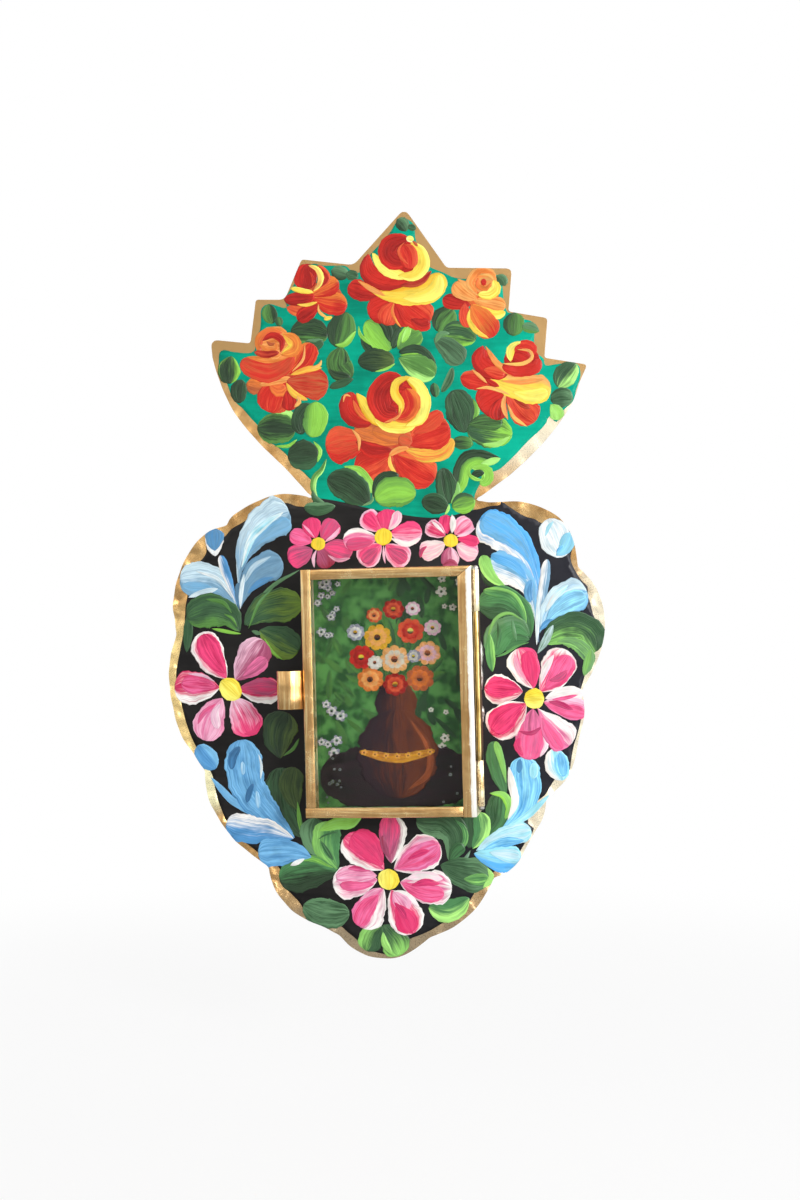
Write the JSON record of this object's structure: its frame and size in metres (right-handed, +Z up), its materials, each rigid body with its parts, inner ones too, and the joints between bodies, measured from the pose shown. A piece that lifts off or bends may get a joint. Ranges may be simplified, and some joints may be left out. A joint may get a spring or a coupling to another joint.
{
  "type": "painted tin heart nicho",
  "caption": "Wall-hung painted tin heart with a stepped crown and a shallow display box whose glazed door opens on a rolled hinge",
  "frame": {"origin": "on the back face of the plate, behind the middle of the box", "axes": "+Z up, +X to the viewer's right, the front faces -Y and +Y points into the wall"},
  "size_m": [0.1588, 0.0311, 0.2689],
  "materials": {
    "painted_tin": "tinplate with a gold lacquered margin, a black and teal ground and varnished brush-painted flowers",
    "gold_tin": "gold lacquered tinplate, satin with warm glints",
    "printed_card": "matt printed card",
    "window_glass": "clear window glass",
    "steel_wire": "dull drawn wire",
    "solder": "satin soft solder"
  },
  "bodies": {
    "box": {"heart_plate": "painted_tin", "box_tray": "painted_tin", "picture_card": "printed_card", "box_knuckle_upper": "gold_tin", "box_knuckle_lower": "gold_tin", "hinge_pin": "steel_wire", "solder_bead_right_upper": "solder", "solder_bead_right_lower": "solder", "solder_bead_left_upper": "solder", "solder_bead_left_lower": "solder", "hanging_loop": "steel_wire", "hanger_solder_left": "solder", "hanger_solder_right": "solder"},
    "door": {"door_channel_left": "gold_tin", "door_channel_top": "gold_tin", "door_channel_right": "gold_tin", "door_channel_bottom": "gold_tin", "glass_pane": "window_glass", "door_knuckle": "gold_tin", "pull_tab": "gold_tin"}
  },
  "joints": [
    {"name": "door_hinge", "type": "hinge", "parent": "box", "child": "door", "pos_m": [0.03134, -0.01855, 0.00082], "axis": [-0.0262, 0, 0.9997], "range_deg": [0, 170]}
  ]
}
